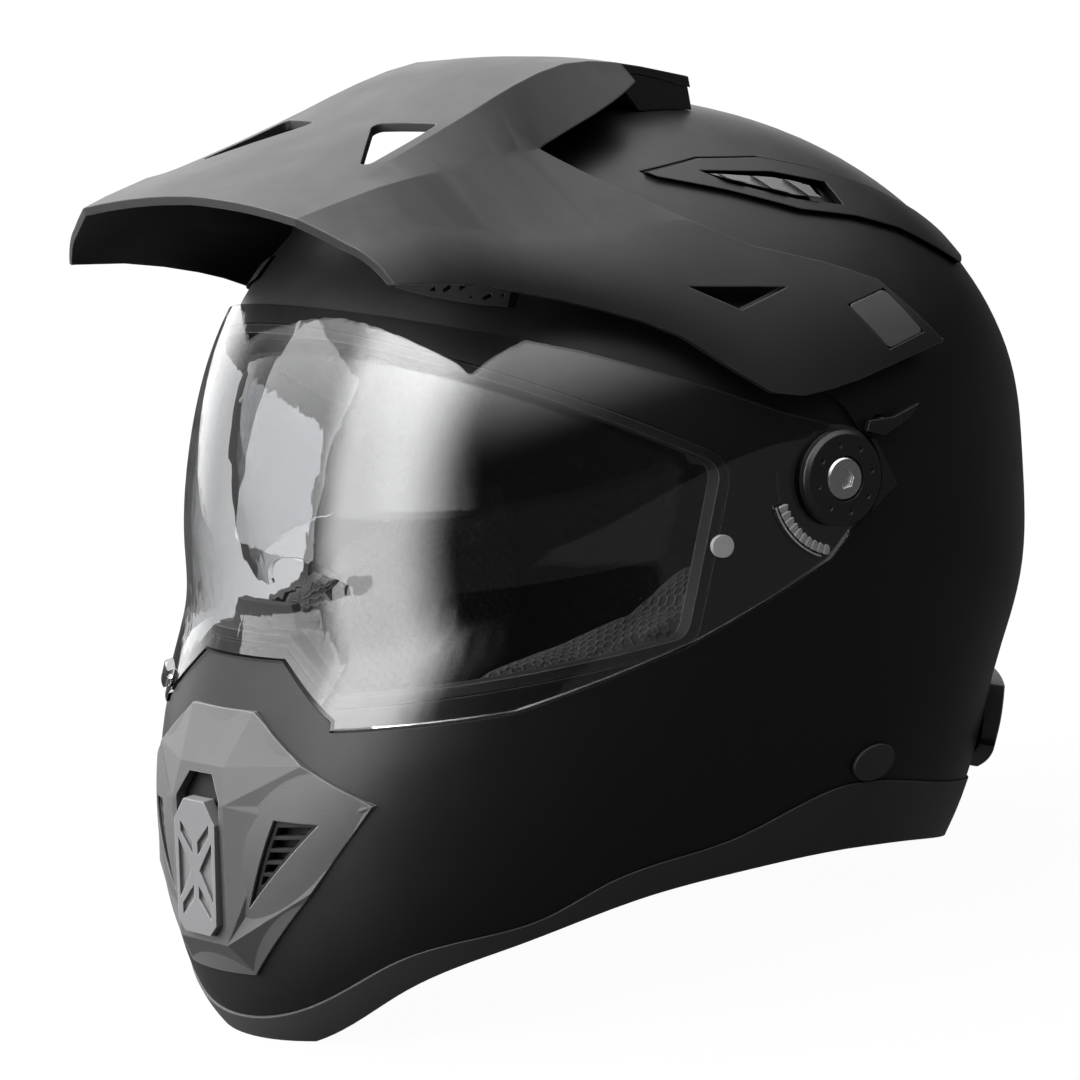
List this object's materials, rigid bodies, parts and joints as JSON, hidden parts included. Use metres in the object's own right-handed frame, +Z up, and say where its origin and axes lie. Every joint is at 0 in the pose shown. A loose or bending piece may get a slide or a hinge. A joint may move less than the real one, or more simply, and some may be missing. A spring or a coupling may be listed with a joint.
{
  "type": "dual sport helmet",
  "caption": "Full-face dual sport helmet with a fixed sun peak, a raising face shield, an inner sun visor, sliding vents and a padded lining.",
  "frame": {"origin": "on the table the helmet rests on, under the middle of its box", "axes": "+Z up, -Y where the face looks, +X the wearer's left"},
  "size_m": [0.264, 0.3342, 0.2969],
  "materials": {
    "shell": "matte black",
    "peak": "matte black",
    "trim": "dark grey satin",
    "vent": "fine textured dark grey",
    "slider": "satin",
    "grille": "matte",
    "plug": "satin grey",
    "pivot": "satin black",
    "screw": "bright",
    "clear_lens": "clear",
    "tinted_lens": "light smoke",
    "gasket": "matte",
    "guard": "matte",
    "foam": "expanded foam",
    "cloth": "black mesh cloth",
    "webbing": "woven",
    "buckle": "matte black",
    "latch": "satin"
  },
  "bodies": {
    "helmet": {"outer_shell": "shell", "eyeport_gasket": "gasket", "base_trim": "trim", "rear_spoiler": "trim", "left_visor_pin": "grille", "right_visor_pin": "grille", "left_impact_liner": "foam", "right_impact_liner": "foam", "chin_impact_liner": "foam", "crown_pad": "cloth", "left_cheek_pad": "cloth", "right_cheek_pad": "cloth", "neck_roll": "cloth", "chin_curtain": "cloth", "breath_guard": "guard", "left_chin_strap": "webbing", "right_chin_strap": "webbing", "left_strap_cap": "trim", "right_strap_cap": "trim", "buckle_body": "buckle", "chin_vent_cover": "vent", "left_inlet_grille": "grille", "right_inlet_grille": "grille", "left_forehead_grille": "grille", "right_forehead_grille": "grille", "left_top_vent_bezel": "shell", "right_top_vent_bezel": "shell", "peak": "peak", "peak_top_mount": "peak", "left_peak_plug": "plug", "right_peak_plug": "plug", "left_pivot_plate": "pivot", "right_pivot_plate": "pivot", "left_pivot_cover": "pivot", "right_pivot_cover": "pivot", "left_pivot_screw": "screw", "right_pivot_screw": "screw"},
    "shield": {"face_shield": "clear_lens", "left_shield_pin": "grille", "right_shield_pin": "grille"},
    "inner_visor": {"sun_visor": "tinted_lens"},
    "visor_lever": {"sun_visor_lever": "pivot"},
    "chin_vent": {"chin_vent_slider": "slider"},
    "left_top_vent": {"left_top_vent_slider": "slider"},
    "right_top_vent": {"right_top_vent_slider": "slider"},
    "buckle_latch": {"buckle_lever": "latch"}
  },
  "joints": [
    {"name": "shield_hinge", "type": "hinge", "parent": "helmet", "child": "shield", "pos_m": [0, 0.029, 0.153], "axis": [-1, 0, 0], "range_deg": [0, 26]},
    {"name": "inner_visor_hinge", "type": "hinge", "parent": "helmet", "child": "inner_visor", "pos_m": [0, 0.001, 0.157], "axis": [-1, 0, 0], "range_deg": [0, 60]},
    {"name": "visor_lever_hinge", "type": "hinge", "parent": "helmet", "child": "visor_lever", "pos_m": [0.127, 0.0505, 0.1655], "axis": [1, 0, 0], "range_deg": [0, 40.2]},
    {"name": "chin_vent_slide", "type": "slide", "parent": "helmet", "child": "chin_vent", "axis": [0, 0.172, 0.9851], "range_m": [0, 0.0065]},
    {"name": "left_top_vent_slide", "type": "hinge", "parent": "helmet", "child": "left_top_vent", "pos_m": [0.05, 0.029, 0.153], "axis": [-1, 0, 0], "range_deg": [0, 2.4]},
    {"name": "right_top_vent_slide", "type": "hinge", "parent": "helmet", "child": "right_top_vent", "pos_m": [-0.05, 0.029, 0.153], "axis": [-1, 0, 0], "range_deg": [0, 2.4]},
    {"name": "buckle_latch_hinge", "type": "hinge", "parent": "helmet", "child": "buckle_latch", "pos_m": [-0.011, 0.031, 0.0175], "axis": [0, 1, 0], "range_deg": [0, 45], "stiffness_Nm_per_rad": 0.02, "springref_deg": -17.19}
  ],
  "couplings": [
    {"joint": "visor_lever_hinge", "follows": "inner_visor_hinge", "ratio": 0.6667}
  ]
}
